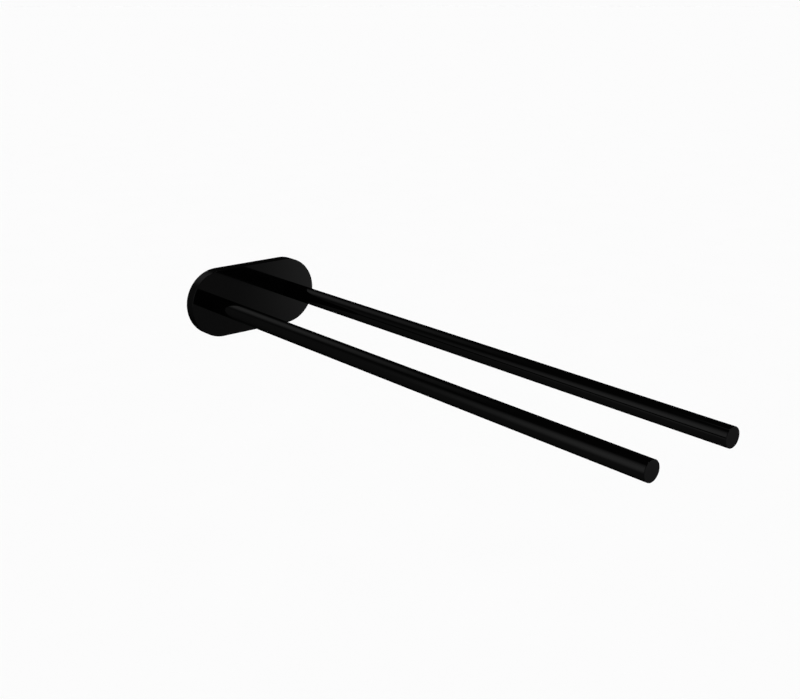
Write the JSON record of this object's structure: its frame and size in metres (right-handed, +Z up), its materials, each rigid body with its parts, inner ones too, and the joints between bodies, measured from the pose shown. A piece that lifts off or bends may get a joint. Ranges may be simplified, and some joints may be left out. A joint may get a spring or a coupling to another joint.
{
  "type": "double towel bar",
  "caption": "Wall-hung double towel bar: parallel round bars reach straight out from a flat oval cover plate that hooks over a hidden dovetail wall bracket.",
  "frame": {"origin": "middle of the back, on the wall plane, level with the bars and midway between them", "axes": "+Z up, +Y into the wall, so the bars reach out along -Y, and +X from the left bar to the right bar"},
  "size_m": [0.1054, 0.4, 0.05],
  "materials": {
    "black_coat": "gloss black coating",
    "bracket_aluminium": "extruded, plain",
    "insert_brass": "turned",
    "screw_steel": "bright stainless",
    "set_screw_steel": "blackened"
  },
  "bodies": {
    "root": {"cover_plate": "black_coat", "left_bar": "black_coat", "right_bar": "black_coat", "left_end_cap": "black_coat", "right_end_cap": "black_coat", "wall_bracket": "bracket_aluminium", "left_bar_insert": "insert_brass", "right_bar_insert": "insert_brass", "left_bar_screw": "screw_steel", "right_bar_screw": "screw_steel", "left_plain_washer": "screw_steel", "right_plain_washer": "screw_steel", "left_spring_washer": "screw_steel", "right_spring_washer": "screw_steel", "left_set_screw": "set_screw_steel", "right_set_screw": "set_screw_steel"}
  },
  "joints": []
}
